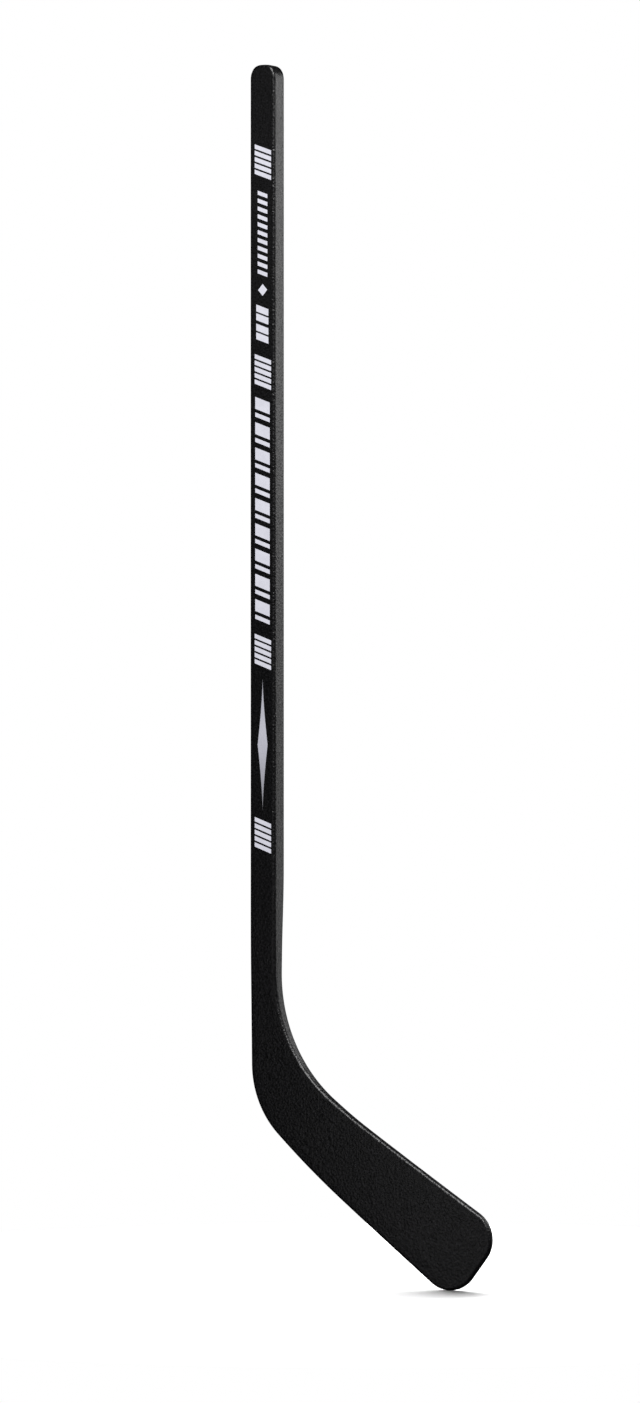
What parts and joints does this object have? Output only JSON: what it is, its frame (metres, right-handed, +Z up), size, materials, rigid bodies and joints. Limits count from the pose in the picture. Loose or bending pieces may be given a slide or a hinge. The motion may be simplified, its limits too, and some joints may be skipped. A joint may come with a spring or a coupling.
{
  "type": "ice hockey stick",
  "caption": "Matt black one-piece youth ice hockey stick: a hollow rectangular composite shaft fused to a curved, foam-cored blade with a rounded toe.",
  "frame": {"origin": "on the shaft's centreline, 60 mm below the butt end, where the upper hand holds the stick", "axes": "+Z up the shaft to the butt end; +X from the shaft towards the blade's toe; -Y out of the backhand face, which carries the graphics; +Y out of the forehand face, which the toe curves towards"},
  "size_m": [0.2233, 0.018, 1.0206],
  "materials": {
    "black_laminate": "matt black paint over carbon laminate, with a fine speckled texture",
    "end_cap": "moulded black plastic, matt",
    "bung_foam": "closed-cell foam",
    "tenon_composite": "moulded fibre-filled resin",
    "bare_laminate": "bare unidirectional carbon laminate",
    "edge_roving": "resin-soaked aramid roving",
    "core_foam": "rigid foam, sanded",
    "toe_resin": "cast resin with filler",
    "printed_ink": "pale silver-grey screen print, satin"
  },
  "bodies": {
    "root": {"butt_end_cap": "end_cap", "shaft_tube": "black_laminate", "shaft_foam_bung": "bung_foam", "blade_tenon": "tenon_composite", "blade_skin": "black_laminate", "heel_ply_backhand": "bare_laminate", "heel_ply_forehand": "bare_laminate", "edge_cord": "edge_roving", "upper_foam_core": "core_foam", "bridge_rib": "bare_laminate", "lower_foam_core": "core_foam", "toe_block": "toe_resin"}
  },
  "joints": []
}
